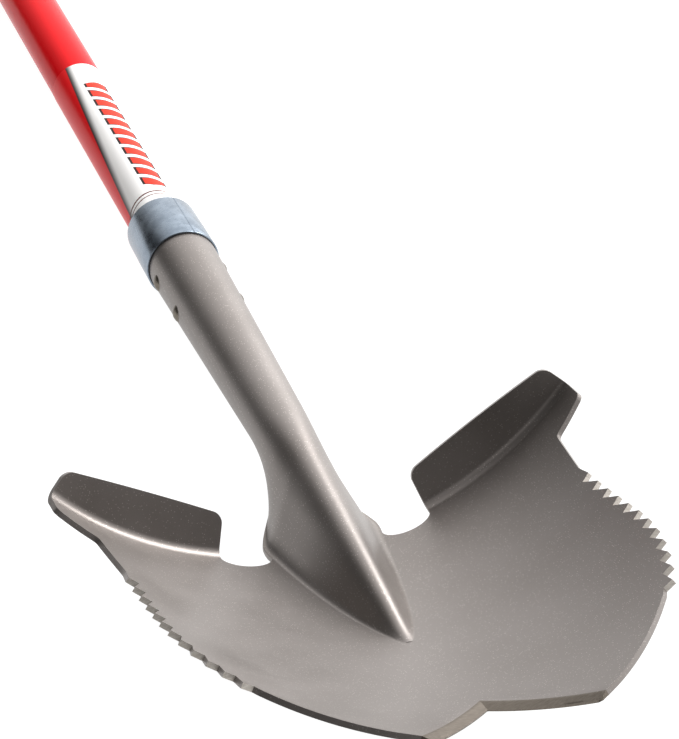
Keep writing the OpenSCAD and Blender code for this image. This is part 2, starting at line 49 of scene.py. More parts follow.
DISH_R, BOW_R = 182.5, 880.0
LIFT = math.radians(18.7)
BLADE_RISE, BLADE_REACH = 5.8, 377.584
FOLD_ANGLE = math.radians(8.61073)
TEETH, TOOTH_PITCH, TOOTH_DEPTH, TOOTH_UNDERCUT = 12, 12.4, 4.2, 1.8
FIRST_Y, SIDE_R, SIDE_STRAIGHT = 59.25, 185.0, 58.0
EAR_X, EAR_Y, EAR_NOTCH = 136.0, 110.75, (119.5, 105.25)
TREAD_X, TREAD_IN, TREAD_OUT = 55.5, 19.5, 14.0
TREAD_FOLD, TREAD_BEND, TREAD_CORNER = math.radians(72.0), 5.5, 5.0
V_TOP, POINT_IN, POINT_OUT = -96.25, 36.0, 38.0
GRIND_W, GRIND_DEPTH = 6.2, 2.1
RIM_BOW, EAR_CORNER, CUT_BOTTOM = 12.0, 3.0, (43.5, 122.25)
SLOT_TOP, SLOT_COVER, SLOT_LEAST, TIP_COVER, MID_Y = 108.0, 1.0, 0.8, 2.2, -52.0
STRIP_ROWS, ACROSS, BEND_ROWS, FLANGE_ROWS, TOOTH_ROWS, GULLET_ROWS = 25, 65, 15, 16, 7, 4
FROG_TOP, FROG_TIP, FROG_W = 142.5, 7.75, 31.5
REST_TILT, REST_Y, REST_Z = math.radians(-0.541668), -93.802, 25.4823


def row_frame(p):
    """Points of the shaft frame, in mm, turned by the shovel's resting tilt about X, shifted to where it
    rests and scaled to metres."""
    x, y, z = np.moveaxis(np.asarray(p, float), -1, 0)
    c, s = math.cos(REST_TILT), math.sin(REST_TILT)
    return np.stack([x, y * c - z * s + REST_Y, y * s + z * c + REST_Z], -1) * 0.001


def blade_to_shaft(p):
    """Points of the blade frame in the shaft frame: tipped by the lift angle about X, then set at the
    blade's reach below the ferrule and its rise over the axis."""
    x, y, z = np.moveaxis(np.asarray(p, float), -1, 0)
    c, s = math.cos(LIFT), math.sin(LIFT)
    return np.stack([x, y * c + z * s - BLADE_REACH, z * c - y * s + BLADE_RISE], -1)


def dish_height(x, y):
    """Height of the hollow face: a circle of the dish's radius across, swung along the bow's circle."""
    ring = BOW_R - DISH_R + np.sqrt(DISH_R**2 - x**2)
    return BOW_R - np.sqrt(ring**2 - y**2)


def sheet_point(x, y, depth=0.0):
    """A point of the sheet under plan position x, y, moved by depth along the hollow face's normal, which
    lies on the radius of the dish's circle turned to the bow's angle."""
    ring = BOW_R - DISH_R + np.sqrt(DISH_R**2 - x**2)
    sin_a, cos_a = x / DISH_R, np.sqrt(1 - (x / DISH_R) ** 2)
    sin_b = y / ring
    cos_b = np.sqrt(1 - sin_b**2)
    out = np.stack([sin_a, cos_a * sin_b, -cos_a * cos_b], -1)
    return np.stack([x, y, BOW_R - ring * cos_b], -1) + out * np.asarray(depth)[..., None]


def fold_line(x):
    """Plan y at which the sheet leaves the dish for the fold: the bow's circle at the fold's angle."""
    return (BOW_R - DISH_R + np.sqrt(DISH_R**2 - x**2)) * math.sin(FOLD_ANGLE)


def tooth_edge(d, inset):
    """The toothed edge: straight down to the end of its straight part, then an arc. Distance d is measured
    down it from the first tip, and inset is how far a gullet lies inside."""
    a = np.maximum(0, d - SIDE_STRAIGHT) / SIDE_R
    return np.stack([HALF_W - SIDE_R + (SIDE_R - inset) * np.cos(a),
                     FIRST_Y - np.minimum(d, SIDE_STRAIGHT) - (SIDE_R - inset) * np.sin(a)], -1)


def frog_foot(y):
    """Half width of the frog's foot: it narrows in a straight line and ends in a blunt rounded tip."""
    t = np.clip((FROG_TOP - y) / (FROG_TOP - FROG_TIP), 0, 1)
    return FROG_W * (1 - 0.66 * t) * np.sqrt(1 - t**4)


def between(a, b, n):
    """n points after a, evenly spaced on the straight line to b."""
    t = np.arange(1, n + 1)[:, None] / n
    return np.asarray(a) + (np.asarray(b) - np.asarray(a)) * t


def rounded_corner(a, b, c, r, n=7):
    """n points of the arc of radius r that rounds the corner at b between a and c."""
    a, b, c = (np.asarray(v, float) for v in (a, b, c))
    u, v = (a - b) / np.linalg.norm(a - b), (c - b) / np.linalg.norm(c - b)
    half = math.acos(float(u @ v)) / 2
    centre = b + (u + v) / np.linalg.norm(u + v) * r / math.sin(half)
    p, q, span = b + u * r / math.tan(half) - centre, b + v * r / math.tan(half) - centre, math.pi - 2 * half
    t = np.linspace(0, 1, n)[:, None]
    return centre + (p * np.sin((1 - t) * span) + q * np.sin(t * span)) / math.sin(span)


def spread(path, share):
    """Points at the given shares of a path's length."""
    path = np.asarray(path, float)
    d = np.concatenate([[0], np.cumsum(np.linalg.norm(np.diff(path, axis=0), axis=1))])
    return np.stack([np.interp(share * d[-1], d, path[:, k]) for k in (0, 1)], -1)


# The outer edge of the right half, from the point up to the fold, in four runs.
rim_start = np.array([POINT_OUT, -FOLD_Y])
rim_end = tooth_edge(np.array(TEETH - 0.5) * TOOTH_PITCH, TOOTH_DEPTH)
t = np.linspace(0, 1, 41)[:, None]
rim_side = (rim_end - rim_start) / np.linalg.norm(rim_end - rim_start)
rim = rim_start + (rim_end - rim_start) * t + np.array([rim_side[1], -rim_side[0]]) * RIM_BOW * t * (1 - t)
edge_low = np.concatenate([[[POINT_IN, -FOLD_Y]], [rim_start], rim[2:]])
edge_teeth = [rim_end]
for i in range(TEETH - 1, -1, -1):
    gullet = tooth_edge(np.array(i * TOOTH_PITCH + TOOTH_UNDERCUT), TOOTH_DEPTH)
    tip = tooth_edge(np.array(i * TOOTH_PITCH), 0.0)
    edge_teeth = np.concatenate([edge_teeth, between(edge_teeth[-1], gullet, GULLET_ROWS),
                                 between(gullet, tip, TOOTH_ROWS - GULLET_ROWS)])
side_end = np.array([HALF_W - TOOTH_DEPTH / 4, FIRST_Y + TOOTH_PITCH * 0.8])
edge_teeth = np.concatenate([edge_teeth, between(edge_teeth[-1], side_end, 4)])
notch = rounded_corner(side_end, EAR_NOTCH, (EAR_X, EAR_Y), EAR_CORNER)
edge_side = np.concatenate([[side_end], between(side_end, notch[0], 8), notch[1:4]])
ear = rounded_corner(EAR_NOTCH, (EAR_X, EAR_Y), (EAR_X, FOLD_Y), EAR_CORNER)
ear_top = (EAR_X, float(fold_line(np.array(EAR_X))))
edge_ear = np.concatenate([notch[3:], between(notch[-1], ear[0], 8), ear[1:], between(ear[-1], ear_top, 5)])

# The inner edge: up the middle to the frog's tip, up the slot under the frog, and round the open cut.
slot_y = np.linspace(FROG_TIP + TIP_COVER, SLOT_TOP, 60)
slot = np.stack([np.maximum(SLOT_LEAST, frog_foot(slot_y) - SLOT_COVER), slot_y], -1)
cut_bottom = np.array(CUT_BOTTOM)
top_in, top_out = float(fold_line(np.array(30.0))), float(fold_line(np.array(TREAD_X)))
foot_top = float(frog_foot(np.array(top_in)))
a = np.linspace(0, math.pi / 2, STRIP_ROWS)[:, None]
cut_right = np.concatenate([cut_bottom[0] + (TREAD_X - cut_bottom[0]) * np.sin(a),
                            cut_bottom[1] + (top_out - cut_bottom[1]) * (1 - np.cos(a))], 1)
cut_left = np.concatenate([cut_bottom[0] - (cut_bottom[0] - foot_top) * np.sin(a),
                           cut_bottom[1] + (top_in - cut_bottom[1]) * (1 - np.cos(a))], 1)


def matched(outer, inner_path):
    """Points of the inner edge at the same shares of its length as the outer edge's points."""
    d = np.concatenate([[0], np.cumsum(np.linalg.norm(np.diff(outer, axis=0), axis=1))])
    return spread(inner_path, d / d[-1])


runs = [(edge_low, [[0, V_TOP], [0, MID_Y]]),
        (edge_teeth, np.concatenate([[[0, MID_Y], [0, FROG_TIP + TIP_COVER]], slot])),
        (edge_side, [slot[-1], cut_bottom]), (edge_ear, cut_right)]
outer_edge = np.concatenate([r[0][(1 if k else 0):] for k, r in enumerate(runs)])
inner_edge = np.concatenate([matched(*r)[(1 if k else 0):] for k, r in enumerate(runs)])
# The first rows run parallel to the edge of the V, as far as the upper edge of the ground band.
v_side = np.array([POINT_IN, -FOLD_Y - V_TOP]) / math.hypot(POINT_IN, -FOLD_Y - V_TOP)
v_in = np.array([-v_side[1], v_side[0]])


def v_distance(p):
    """Distance from the edge of the V, positive into the sheet."""
    return (p - np.array([0, V_TOP])) @ v_in


low = edge_low[1:]
for k in range(1, 6):
    d = GRIND_W * k / 5
    inner_edge[k + 1] = [0, V_TOP + d / v_in[1]]
    outer_edge[k + 1] = [np.interp(d, v_distance(low), low[:, 0]), np.interp(d, v_distance(low), low[:, 1])]
inner_edge[1] = [0, V_TOP + float(v_distance(outer_edge[1])) / v_in[1]]
inner_edge[7:len(edge_low), 1] = np.linspace(inner_edge[6, 1], MID_Y, len(edge_low) - 6)[1:]

across = 0.5 - 0.5 * np.cos(np.linspace(0, math.pi, ACROSS))
main_plan = inner_edge[:, None] + (outer_edge - inner_edge)[:, None] * across[None, :, None]
line_n = len(edge_side)
line_share = np.concatenate([[0], np.cumsum(np.linalg.norm(np.diff(edge_side, axis=0), axis=1))])
line = slot[-1] + (cut_bottom - slot[-1]) * (line_share / line_share[-1])[:, None]
slot_up_y = np.linspace(SLOT_TOP, top_in, STRIP_ROWS)
slot_up = np.stack([frog_foot(slot_up_y) - SLOT_COVER, slot_up_y], -1)
strip_share = (line_share / line_share[-1])[None, :, None]
strip_plan = slot_up[:, None] * (1 - strip_share) + cut_left[:, None] * strip_share


def warped(plan):
    """Shifts a plan grid in y in proportion to its height, so that its top row lies on the fold line."""
    x, y = plan[..., 0], plan[..., 1]
    top = np.interp(np.clip(x, 0, EAR_X), [TREAD_X, EAR_X], [top_out, ear_top[1]])
    pull = np.clip((y - 90) / (top - 90), 0, 1) ** 2
    return np.stack([x, np.where(x > TREAD_X, y + (fold_line(x) - top) * pull, y)], -1)


def ground_depth(plan):
    """How deep the grinder has cut below the hollow face: a straight ramp down to the edge of the V."""
    d = (np.abs(plan[..., 0]) * v_in[0] + (plan[..., 1] - V_TOP) * v_in[1])
    return GRIND_DEPTH * np.clip(1 - d / GRIND_W, 0, 1)


main_plan = warped(main_plan)
main_grid = sheet_point(main_plan[..., 0], main_plan[..., 1], ground_depth(main_plan))
strip_grid = sheet_point(strip_plan[..., 0], strip_plan[..., 1], 0 * strip_plan[..., 0])

# The tread turns about the dish's own axis: a quarter bend, then a flat flange up to a slanting edge.
tread_x = main_grid[-1, :, 0]
theta = np.arccos(tread_x / DISH_R)
tall = np.array([DISH_R - TREAD_IN, DISH_R - TREAD_OUT])
ends = np.stack([tall * np.cos(theta[[0, -1]]), tall * np.sin(theta[[0, -1]])], -1)
chord = ends[1] - ends[0]
chord_n = np.array([-chord[1], chord[0]])
edge_radius = (ends[0] @ chord_n) / (np.cos(theta) * chord_n[0] + np.sin(theta) * chord_n[1])
flange = (DISH_R - TREAD_BEND * (1 - math.cos(TREAD_FOLD)) - edge_radius) / math.sin(TREAD_FOLD)
arc_len = np.abs(theta - theta[0]) * edge_radius
near = np.minimum(arc_len, arc_len[-1] - arc_len)
flange = flange - TREAD_CORNER * (1 - np.sqrt(1 - np.clip(1 - near / TREAD_CORNER, 0, 1) ** 2))
bend = np.linspace(0, TREAD_FOLD, BEND_ROWS)
up = np.linspace(0, 1, FLANGE_ROWS)[1:]
radius = np.concatenate([np.repeat((DISH_R - TREAD_BEND + TREAD_BEND * np.cos(bend))[:, None], ACROSS, 1),
                         DISH_R - TREAD_BEND + TREAD_BEND * math.cos(TREAD_FOLD)
                         - up[:, None] * flange * math.sin(TREAD_FOLD)])
height = np.concatenate([np.repeat((TREAD_BEND * np.sin(bend))[:, None], ACROSS, 1),
                         TREAD_BEND * math.sin(TREAD_FOLD) + up[:, None] * flange * math.cos(TREAD_FOLD)])
tx, ty, tz = radius * np.cos(theta), height, DISH_R - BOW_R - radius * np.sin(theta)
tread_grid = np.stack([tx, ty * math.cos(FOLD_ANGLE) - tz * math.sin(FOLD_ANGLE),
                       ty * math.sin(FOLD_ANGLE) + tz * math.cos(FOLD_ANGLE) + BOW_R], -1)
tread_grid[0] = main_grid[-1]
strip_grid[0] = sheet_point(line[:, 0], line[:, 1], 0 * line[:, 0])


def grid_faces(rows, cols, start=0, flip=False):
    """Index quads of a rows by cols grid; flip turns them over."""
    k = start + np.arange(rows - 1)[:, None] * cols + np.arange(cols - 1)
    q = np.stack([k, k + 1, k + cols + 1, k + cols], -1).reshape(-1, 4)
    return q[:, ::-1] if flip else q


def joined(parts):
    """Several (points, faces) lists as one, with the faces' numbers moved on."""
    points, faces, n = [], [], 0
    for p, f in parts:
        points.append(p.reshape(-1, 3))
        faces.append(f + n)
        n += points[-1].shape[0]
    return np.concatenate(points), np.concatenate(faces)


def mesh_object(name, points, faces, body, replaced=(), merge=True, smooth_angle=35.0, kind=None):
    """One piece from row-frame points and quads: doubles within 2 micrometres are merged, faces are smooth
    but for edges sharper than smooth_angle, kind gives each face its material's number."""
    mesh = bpy.data.meshes.new(name)
    mesh.from_pydata(points.reshape(-1, 3), [], faces.tolist())
    if kind is not None:
        mesh.polygons.foreach_set("material_index", kind.astype(np.int32))
    if merge:
        work = bmesh.new()
        work.from_mesh(mesh)
        bmesh.ops.remove_doubles(work, verts=work.verts, dist=2e-6)
        bmesh.ops.dissolve_degenerate(work, edges=work.edges, dist=1e-7)
        work.to_mesh(mesh)
        work.free()
    mesh.polygons.foreach_set("use_smooth", np.ones(len(mesh.polygons), bool))
    mesh.set_sharp_from_angle(angle=math.radians(smooth_angle))
    mesh.update()
    piece = bpy.data.objects.new(name, mesh)
    bpy.context.scene.collection.objects.link(piece)
    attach(piece, body)
    if replaced:
        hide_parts(*replaced)
    return piece


rows, cols = main_grid.shape[:2]
main_faces = grid_faces(rows, cols)
row_of = np.repeat(np.arange(rows - 1), cols - 1)
col_of = np.tile(np.arange(cols - 1), rows - 1)
# Each tooth has seven rows of quads, of which the last three are its steep lower flank, left bare.
tooth_row = row_of - (len(edge_low) - 1)
steep = (tooth_row >= 0) & (tooth_row < TOOTH_ROWS * TEETH) & (tooth_row % TOOTH_ROWS >= GULLET_ROWS)
main_kind = np.where((col_of > cols - 3) & steep, 1, 0)
main_kind = np.where(row_of < 6, 3, main_kind)
half_points, half_faces = joined([(main_grid, main_faces), (strip_grid, grid_faces(STRIP_ROWS, line_n)),
                                  (tread_grid, grid_faces(*tread_grid.shape[:2]))])
half_kind = np.zeros(len(half_faces), int)
half_kind[:len(main_kind)] = main_kind
points, faces = joined([(half_points, half_faces), (half_points * [-1, 1, 1], half_faces[:, ::-1])])
blade = mesh_object("blade_sheet", row_frame(blade_to_shaft(points)), faces, "root", ["blade"],
                    smooth_angle=180.0, kind=np.concatenate([half_kind, half_kind]))


def hex_linear(code):
    """An sRGB hex colour as linear RGBA."""
    c = np.array([int(code[i:i + 2], 16) for i in (1, 3, 5)]) / 255
    c = np.where(c <= 0.04045, c / 12.92, ((c + 0.055) / 1.055) ** 2.4)
    return (*c.tolist(), 1.0)


def add_node(tree, kind, inputs=None, **settings):
    """Adds a node with its settings; inputs maps a socket's name or number to a value or to another
    node's output, which is then linked."""
    node = tree.nodes.new(kind)
    for key, value in settings.items():
        setattr(node, key, value)
    for key, value in (inputs or {}).items():
        if isinstance(value, bpy.types.NodeSocket):
            tree.links.new(value, node.inputs[key])
        else:
            node.inputs[key].default_value = value
    return node


def start_material(name):
    """An empty node material with its output node, and the Object coordinates in metres."""
    made = bpy.data.materials.new(name)
    made.use_nodes = True
    tree = made.node_tree
    tree.nodes.clear()
    add_node(tree, "ShaderNodeOutputMaterial")
    return made, tree, add_node(tree, "ShaderNodeTexCoord").outputs["Object"]


def end_material(tree, shader):
    """Links the finished shader to the material's output node."""
    tree.links.new(shader.outputs["BSDF"], tree.nodes["Material Output"].inputs["Surface"])


# Powder coat over shot-blasted steel, baked: a satin warm grey with a 0.5 mm orange-peel grain and fine
# metal flake, which gives soft highlights that break up into sparkle at a low angle.
coat, tree, place = start_material("steel_powder_coated_blasted")
cloud = add_node(tree, "ShaderNodeTexNoise", {"Vector": place, "Scale": 14.0, "Detail": 4.0,
                                              "Roughness": 0.6})
grain = add_node(tree, "ShaderNodeTexNoise", {"Vector": place, "Scale": 1300.0, "Detail": 2.0})
fleck = add_node(tree, "ShaderNodeTexVoronoi", {"Vector": place, "Scale": 1150.0})
glint = add_node(tree, "ShaderNodeMapRange", {"Value": fleck.outputs["Distance"], "From Min": 0.05,
                                              "From Max": 0.32, "To Min": 1.0, "To Max": 0.0})
rare = add_node(tree, "ShaderNodeSeparateColor", {"Color": fleck.outputs["Color"]})
pick = add_node(tree, "ShaderNodeMath", {0: rare.outputs["Red"], 1: 0.72}, operation="GREATER_THAN")
spark = add_node(tree, "ShaderNodeMath", {0: glint.outputs["Result"], 1: pick.outputs[0]},
                 operation="MULTIPLY")
tone = add_node(tree, "ShaderNodeMix", {0: cloud.outputs["Fac"], 6: hex_linear("#77706b"),
                                        7: hex_linear("#908a87")}, data_type="RGBA")
pale = add_node(tree, "ShaderNodeMix", {0: spark.outputs[0], 6: tone.outputs[2], 7: hex_linear("#cfc8c0")},
                data_type="RGBA")
rough = add_node(tree, "ShaderNodeMapRange", {"Value": cloud.outputs["Fac"], "From Min": 0.3, "From Max": 0.7,
                                              "To Min": 0.35, "To Max": 0.45})
bump = add_node(tree, "ShaderNodeBump", {"Strength": 0.30, "Distance": 0.00012,
                                         "Height": grain.outputs["Fac"]})
end_material(tree, add_node(tree, "ShaderNodeBsdfPrincipled", {
    "Base Color": pale.outputs[2], "Metallic": 0.72, "Roughness": rough.outputs["Result"],
    "Normal": bump.outputs["Normal"]}))

# Boron steel ground on a coarse belt after coating: bare, bright, with scratches about 0.5 mm apart, drawn
# wider than the real 0.2 mm so that they show.
ground, tree, place = start_material("boron_steel_belt_ground")
wide = add_node(tree, "ShaderNodeMapping", {"Vector": place, "Scale": (300.0, 2400.0, 900.0)})
lines = add_node(tree, "ShaderNodeTexNoise", {"Vector": wide.outputs["Vector"], "Scale": 1.0, "Detail": 2.0})
shade = add_node(tree, "ShaderNodeMix", {0: lines.outputs["Fac"], 6: hex_linear("#c3b9ae"),
                                         7: hex_linear("#f4eee6")}, data_type="RGBA")
bump = add_node(tree, "ShaderNodeBump", {"Strength": 0.5, "Distance": 0.0002, "Height": lines.outputs["Fac"]})
end_material(tree, add_node(tree, "ShaderNodeBsdfPrincipled", {
    "Base Color": shade.outputs[2], "Metallic": 0.6, "Roughness": 0.36, "Normal": bump.outputs["Normal"]}))

# The bands beside the V are ground too, but have been handled and oiled: duller and browner.
dull, tree, place = start_material("boron_steel_ground_oiled")
wide = add_node(tree, "ShaderNodeMapping", {"Vector": place, "Scale": (260.0, 1500.0, 900.0)})
lines = add_node(tree, "ShaderNodeTexNoise", {"Vector": wide.outputs["Vector"], "Scale": 1.0, "Detail": 2.0})
shade = add_node(tree, "ShaderNodeMix", {0: lines.outputs["Fac"], 6: hex_linear("#564e46"),
                                         7: hex_linear("#7d756b")}, data_type="RGBA")
bump = add_node(tree, "ShaderNodeBump", {"Strength": 0.4, "Distance": 0.0002, "Height": lines.outputs["Fac"]})
end_material(tree, add_node(tree, "ShaderNodeBsdfPrincipled", {
    "Base Color": shade.outputs[2], "Metallic": 1.0, "Roughness": 0.42, "Normal": bump.outputs["Normal"]}))

for material in (coat, coat, ground, dull, dull):
    blade.data.materials.append(material)
thin = blade.vertex_groups.new(name="thickness")
co = np.empty(len(blade.data.vertices) * 3)
blade.data.vertices.foreach_get("co", co)
co = co.reshape(-1, 3) * 1000
# Undo the row frame's shift and the blade's tip to find how much the grinder has left at each point.
y, z = co[:, 1] - REST_Y, co[:, 2] - REST_Z
c, s = math.cos(REST_TILT), math.sin(REST_TILT)
y, z = y * c + z * s, z * c - y * s
y, z = y + BLADE_REACH, z - BLADE_RISE
y = y * math.cos(LIFT) - z * math.sin(LIFT)
left = 1 - ground_depth(np.stack([co[:, 0], y], -1)) / SHEET
thin.add(np.nonzero(left > 0.999)[0].tolist(), 1.0, "REPLACE")
for index in np.nonzero(left <= 0.999)[0]:
    thin.add([int(index)], float(left[index]), "REPLACE")
wall = blade.modifiers.new("wall", "SOLIDIFY")
wall.thickness, wall.offset, wall.material_offset_rim = SHEET * 0.001, -1.0, 1
wall.vertex_group, wall.use_quality_normals = "thickness", True
# The cut edges get a 0.32 mm chamfer in the bright ground steel: partly bare steel where the coat wears off,
# partly a painted highlight along the edges.
wear_and_highlight = blade.modifiers.new("worn_edges_and_painted_highlight", "BEVEL")
wear_and_highlight.width, wear_and_highlight.segments, wear_and_highlight.limit_method = 0.00032, 2, "ANGLE"
wear_and_highlight.angle_limit, wear_and_highlight.harden_normals, wear_and_highlight.material = math.radians(50), True, 2

# ---------------------------------------------------------------------------------------------
# Socket: the same steel, rolled round the shaft's end with an open seam at the back, drawn down to a waist,
# then opened out into the frog, whose raised crest runs down on to the blade, and coated with the blade.
# ---------------------------------------------------------------------------------------------
SOCKET_R, BORE_R, WAIST_R, WAIST_Y, SOCKET_STRAIGHT = 20.1, 16.65, 15.4, 187.0, 6.0
NECK_LEN, SHAFT_SEAT, NECK_WALL, SOCKET_TOP = 249.0, 76.0, 2.6, 39.85
SEAM = math.radians(177.0)
CREST_TIP_Z, CREST_TOP = 0.434127, (177.445, 70.1969)
FOOT_FILLET, CREST_ROUND = 0.24, 0.50


def ease(t):
    """A smooth step from 0 to 1."""
    t = np.clip(t, 0, 1)
    return t * t * (3 - 2 * t)


def along_blade(y, z):
    """Distance up the blade frame of a point at y, z of the shaft frame."""
    return (y + BLADE_REACH) * math.cos(LIFT) - (z - BLADE_RISE) * math.sin(LIFT)


def neck_radius(y):
    """Straight under the ferrule, then a straight taper down to the waist."""
    return SOCKET_R + (WAIST_R - SOCKET_R) * np.maximum(0, -y - SOCKET_STRAIGHT) / (WAIST_Y - SOCKET_STRAIGHT)


def prow(u):
    """Height across the frog, 1 at the crest and 0 at the feet: a straight flank between a parabola that
    rounds the crest and one that runs out on the blade."""
    p = 1 - np.abs(u)
    slope = 1 / (1 - FOOT_FILLET / 2 - CREST_ROUND / 2)
    foot = slope * p * p / (2 * FOOT_FILLET)
    top = 1 - slope * u * u / (2 * CREST_ROUND)
    return np.where(p < FOOT_FILLET, foot, np.where(np.abs(u) < CREST_ROUND, top,
                                                    slope * (p - FOOT_FILLET / 2)))


def frog_point(y, u):
    """A straight crest from the blade up to the waist, with the prow's section hung from it on the dish."""
    t = np.clip((FROG_TOP - y) / (FROG_TOP - FROG_TIP), 0, 1)
    crest = CREST_TIP_Z + (CREST_TOP[1] - CREST_TIP_Z) * (y - FROG_TIP) / (CREST_TOP[0] - FROG_TIP)
    tall = (crest - dish_height(0 * y, y)) * np.sqrt(1 - t**9)
    x = np.maximum(0.4, frog_foot(y)) * u
    soft = np.clip((y - 150) / 30, 0, 1)
    section = prow(u) * (1 - soft) + (1 - u * u) ** 1.35 * soft
    return blade_to_shaft(np.stack([x, y + 0 * x, dish_height(x, y) + tall * section], -1))


def neck_skin(y, u):
    """The rolled tube at shaft position y, opened step by step into the frog's section."""
    opening = ease((-y - WAIST_Y + 18) / (NECK_LEN - WAIST_Y + 6))
    angle, r = u * SEAM, neck_radius(y)
    tube = np.stack([r * np.sin(angle), y + 0 * angle, r * np.cos(angle)], -1)
    yb = along_blade(y, 0) + (along_blade(y, CREST_TIP_Z) - along_blade(y, 0)) * opening
    frog = frog_point(np.maximum(FROG_TIP + 0.3, yb), u)
    return tube + (frog - tube) * opening[..., None]


last_y = float(blade_to_shaft(np.array([0, FROG_TIP + 0.3,
                                        dish_height(np.array(0.0), np.array(FROG_TIP))]))[1])
ring_y = np.concatenate([np.linspace(SOCKET_TOP, -SOCKET_STRAIGHT, 8), np.linspace(-10, -165, 34),
                         np.linspace(-169, last_y + 8, 90),
                         last_y + 8 * (1 - np.linspace(0, 1, 13)[1:]) ** 1.6])
u = np.linspace(-1, 1, 121)
Y, U = np.meshgrid(ring_y, u, indexing="ij")
outer = neck_skin(Y, U)
du = np.gradient(outer, axis=1)
dy = np.gradient(outer, axis=0)
normal = np.cross(dy, du)
normal /= np.linalg.norm(normal, axis=-1, keepdims=True)
thick = np.where(Y > -SHAFT_SEAT, neck_radius(Y) - BORE_R, NECK_WALL)
thick = thick * np.clip((Y - last_y) / 12 + 0.15, 0.15, 1)
inner = outer - normal * thick[..., None]
edge_dir = du / np.linalg.norm(du, axis=-1, keepdims=True)
loose = (1 - ease((-Y - 215) / 30))[..., None]
mid = (outer + inner) / 2
bulge = edge_dir * 0.25 * loose
loop = np.concatenate([outer, (mid + (outer - mid) * 0.75 + bulge * 0.7)[:, -1:], (mid + bulge)[:, -1:],
                       (mid + (inner - mid) * 0.75 + bulge * 0.7)[:, -1:], inner[:, ::-1],
                       (mid + (inner - mid) * 0.75 - bulge * 0.7)[:, :1], (mid - bulge)[:, :1],
                       (mid + (outer - mid) * 0.75 - bulge * 0.7)[:, :1]], 1)


def closed_sweep(loop):
    """A closed section carried along a path: rings of points joined round and along, with the two end rings
    filled between their outer and inner halves."""
    rings, n = loop.shape[:2]
    k = np.arange(rings - 1)[:, None] * n
    i, j = np.arange(n), (np.arange(n) + 1) % n
    walls = np.stack([k + i, k + j, k + n + j, k + n + i], -1).reshape(-1, 4)
    half = (n - 6) // 2
    o = np.arange(half - 1)
    inner_at = 2 * half + 2 - o
    cap = np.stack([o, inner_at, inner_at - 1, o + 1], -1)
    end = cap[:, ::-1] + (rings - 1) * n
    side = np.array([[half - 1, half + 3, half + 2, half + 1], [half - 1, half + 1, half, half],
                     [0, n - 1, n - 2, n - 3], [0, n - 3, 2 * half + 2, 2 * half + 2]])
    return loop.reshape(-1, 3), np.concatenate([walls, cap, end])


points, faces = closed_sweep(loop)
resting = row_frame(points)
# Points of the open edges that would lie under the ground are set level with it.
resting[:, 2] = np.maximum(resting[:, 2], 0.0)
socket = mesh_object("socket_and_frog", resting, faces, "root", ["socket"],
                     smooth_angle=50.0)
socket.data.materials.append(coat)
work = bmesh.new()
work.from_mesh(socket.data)
bmesh.ops.holes_fill(work, edges=[e for e in work.edges if e.is_boundary], sides=0)
bmesh.ops.recalc_face_normals(work, faces=work.faces)
work.to_mesh(socket.data)
work.free()

# ---------------------------------------------------------------------------------------------
# Ferrule: a strip of zinc-plated steel rolled into a band, butted lengthwise, pressed over the socket's
# top and closed down on to the shaft above it.
# ---------------------------------------------------------------------------------------------
FERRULE_R, FERRULE_TAPER, FERRULE_LEN, FERRULE_LIP = 21.45, 0.5, 44.0, 4.0
FERRULE_BORE = 20.25


def turned(profile, steps=160, axis="shaft", at=(0, 0, 0), shape=None):
    """A closed profile of (radius, position) carried once round an axis: the shaft's, or X through a point.
    shape changes the radius from the angle and the position."""
    profile = np.asarray(profile, float)
    angle = np.linspace(0, 2 * math.pi, steps, endpoint=False)
    r = np.repeat(profile[None, :, 0], steps, 0)
    s = np.repeat(profile[None, :, 1], steps, 0)
    if shape is not None:
        r = r + shape(angle[:, None], r, s)
    c, d = np.cos(angle)[:, None] * r, np.sin(angle)[:, None] * r
    points = np.stack([d, s, c], -1) if axis == "shaft" else np.stack([s, d, -c], -1)
    n = len(profile)
    i, k = np.arange(n), np.arange(steps)[:, None]
    faces = np.stack([k * n + i, k * n + (i + 1) % n, (k + 1) % steps * n + (i + 1) % n,
                      (k + 1) % steps * n + i], -1).reshape(-1, 4)
    return points.reshape(-1, 3) + np.array(at), faces


def rounded(profile, r, n=4):
    """A closed profile with each corner replaced by an arc of radius r, or less where its sides are short."""
    profile = [np.array(p, float) for p in profile]
    made = []
    for k, b in enumerate(profile):
        a, c = profile[k - 1], profile[(k + 1) % len(profile)]
        u, v = (a - b) / np.linalg.norm(a - b), (c - b) / np.linalg.norm(c - b)
        half = math.acos(max(-1.0, min(1.0, float(u @ v)))) / 2
        if half > 1.5:
            made.append(b[None])
            continue
        fit = min(r, 0.45 * min(np.linalg.norm(a - b), np.linalg.norm(c - b)) * math.tan(half))
        made.append(rounded_corner(a, b, c, fit, n))
    return np.concatenate(made)


def butt_seam(angle, r, s):
    """A groove 0.5 mm wide and 0.3 mm deep along the band where its edges meet, on the outer face only."""
    off = (angle - math.radians(21.0)) * r
    return np.where(r > 20.6, -0.3 * np.exp(-(off / 0.3) ** 2), 0)


profile = rounded([(FERRULE_BORE, 0), (FERRULE_R, 0), (FERRULE_R - 0.15, FERRULE_LEN * 0.5),
                   (FERRULE_R - FERRULE_TAPER, FERRULE_LEN - 1.2),
                   (FERRULE_R - FERRULE_TAPER - 1.2, FERRULE_LEN),
                   (BORE_R, FERRULE_LEN), (BORE_R, FERRULE_LEN - FERRULE_LIP),
                   (FERRULE_BORE, FERRULE_LEN - FERRULE_LIP)], 0.35)
points, faces = turned(profile, 720, shape=butt_seam)
ferrule = mesh_object("ferrule_band", row_frame(points), faces[:, ::-1], "root", ["ferrule"])

